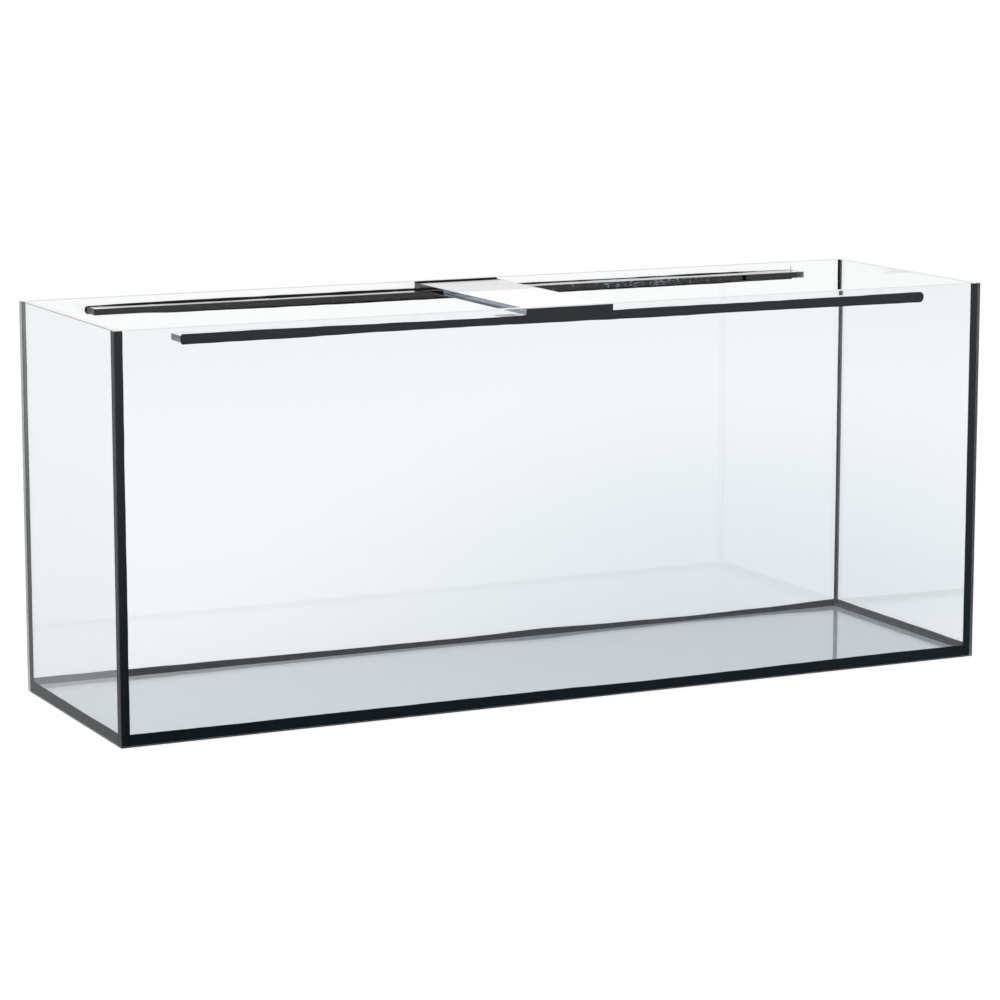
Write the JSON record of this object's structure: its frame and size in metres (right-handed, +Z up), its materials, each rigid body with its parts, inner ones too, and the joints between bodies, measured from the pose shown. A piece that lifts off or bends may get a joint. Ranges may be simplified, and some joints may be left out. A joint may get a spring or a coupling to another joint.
{
  "type": "glass aquarium tank",
  "caption": "Open-topped rectangular aquarium tank of clear float glass, bonded with black silicone, with glass bracing strips just under the rim and one across the middle.",
  "frame": {"origin": "middle of the underside, on the surface that the tank stands on", "axes": "+X along the length to the right, +Y from the front pane to the back pane, +Z up"},
  "size_m": [1.2, 0.35, 0.5],
  "materials": {
    "pane_glass": "clear float glass, polished faces, ground edges",
    "brace_glass": "clear float glass, ground edges",
    "black_silicone": "smooth semi-gloss cured sealant"
  },
  "bodies": {
    "root": {"base_pane": "pane_glass", "front_pane": "pane_glass", "back_pane": "pane_glass", "left_pane": "pane_glass", "right_pane": "pane_glass", "front_brace": "brace_glass", "back_brace": "brace_glass", "cross_brace": "brace_glass", "front_left_bond": "black_silicone", "front_right_bond": "black_silicone", "back_left_bond": "black_silicone", "back_right_bond": "black_silicone", "front_left_bead": "black_silicone", "front_right_bead": "black_silicone", "back_left_bead": "black_silicone", "back_right_bead": "black_silicone", "base_front_bond": "black_silicone", "base_back_bond": "black_silicone", "base_left_bond": "black_silicone", "base_right_bond": "black_silicone", "base_front_bead": "black_silicone", "base_back_bead": "black_silicone", "base_left_bead": "black_silicone", "base_right_bead": "black_silicone", "front_brace_bond": "black_silicone", "back_brace_bond": "black_silicone", "cross_front_bond": "black_silicone", "cross_back_bond": "black_silicone", "cross_front_pad": "black_silicone", "cross_back_pad": "black_silicone"}
  },
  "joints": []
}
